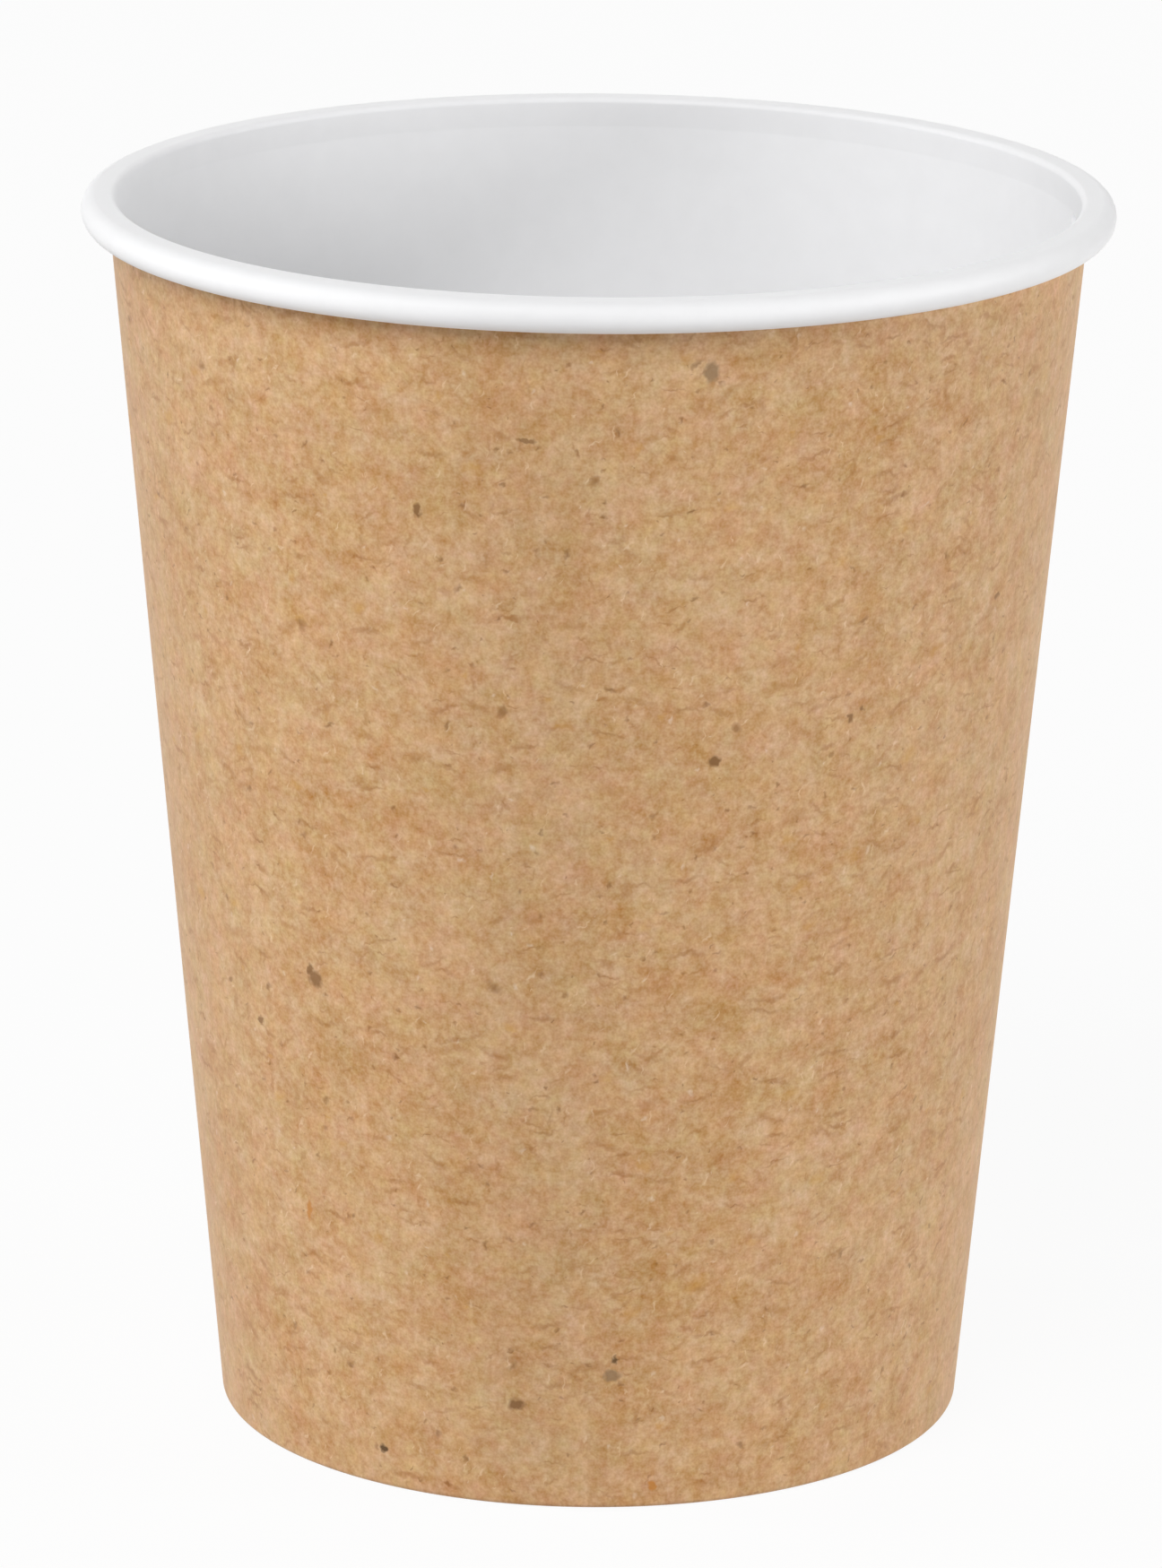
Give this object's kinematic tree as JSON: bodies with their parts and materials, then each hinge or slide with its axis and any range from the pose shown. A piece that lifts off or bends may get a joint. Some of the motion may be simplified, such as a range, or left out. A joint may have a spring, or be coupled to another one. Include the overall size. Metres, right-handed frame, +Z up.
{
  "type": "paper coffee cup",
  "caption": "Open single-wall paper coffee cup: brown kraft outside, white inside, with a white rolled rim, a lapped side seam and a floor disc held in a hem.",
  "frame": {"origin": "on the cup's axis, at the surface that it stands on", "axes": "+Z up the cup's axis, out of its mouth. The outer cut edge of the side seam lies 18 degrees from +X towards +Y, so -Y looks at the plain front."},
  "size_m": [0.08, 0.08, 0.0975],
  "materials": {
    "kraft_board": "matte",
    "white_board": "satin"
  },
  "bodies": {
    "root": {"side_wall": "kraft_board", "bottom_disc": "white_board"}
  },
  "joints": []
}
